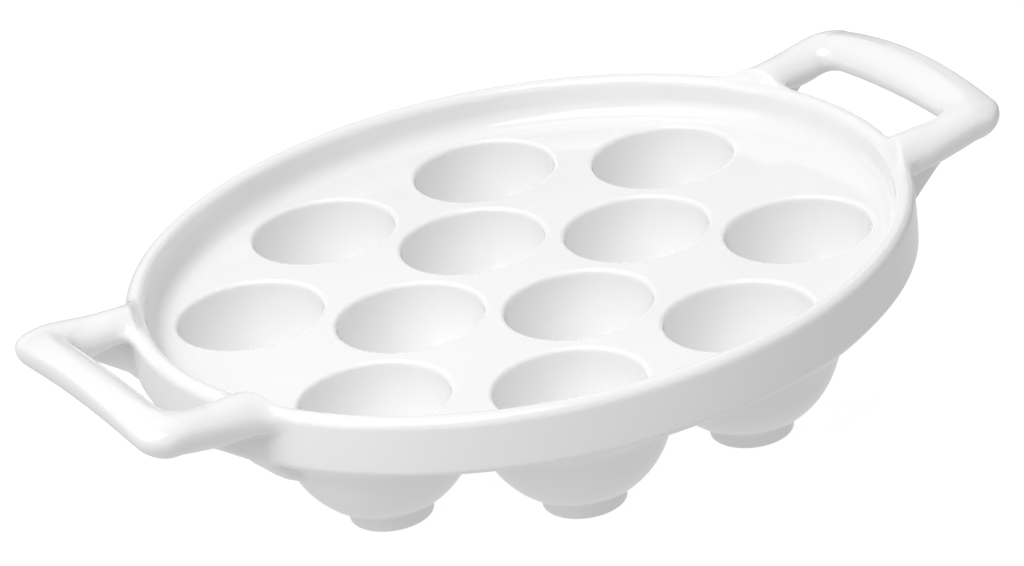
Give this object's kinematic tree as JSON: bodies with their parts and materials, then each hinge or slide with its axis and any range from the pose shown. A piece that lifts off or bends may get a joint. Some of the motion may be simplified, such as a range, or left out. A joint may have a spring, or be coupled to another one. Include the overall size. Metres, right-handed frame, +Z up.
{
  "type": "escargot dish",
  "caption": "Shallow oval porcelain dish with round wells in its deck, a raised rim, a loop handle at each end and small foot rings, for baking and serving snails.",
  "frame": {"origin": "on the table plane, under the middle of the dish", "axes": "+X along the two handles, +Y across the dish, +Z up out of the wells"},
  "size_m": [0.2494, 0.1858, 0.0497],
  "materials": {
    "glazed_porcelain": "clear gloss glaze over white porcelain",
    "foot_porcelain": "fine white porcelain with an unglazed, rubbed resting edge"
  },
  "bodies": {
    "root": {"deck_plate": "glazed_porcelain", "rim_wall": "glazed_porcelain", "handle_left": "glazed_porcelain", "handle_right": "glazed_porcelain", "cup_01": "glazed_porcelain", "cup_02": "glazed_porcelain", "cup_03": "glazed_porcelain", "cup_04": "glazed_porcelain", "cup_05": "glazed_porcelain", "cup_06": "glazed_porcelain", "cup_07": "glazed_porcelain", "cup_08": "glazed_porcelain", "cup_09": "glazed_porcelain", "cup_10": "glazed_porcelain", "cup_11": "glazed_porcelain", "cup_12": "glazed_porcelain", "foot_ring_01": "foot_porcelain", "foot_ring_02": "foot_porcelain", "foot_ring_03": "foot_porcelain", "foot_ring_04": "foot_porcelain", "foot_ring_05": "foot_porcelain", "foot_ring_06": "foot_porcelain", "foot_ring_07": "foot_porcelain", "foot_ring_08": "foot_porcelain", "foot_ring_09": "foot_porcelain", "foot_ring_10": "foot_porcelain", "foot_ring_11": "foot_porcelain", "foot_ring_12": "foot_porcelain"}
  },
  "joints": []
}
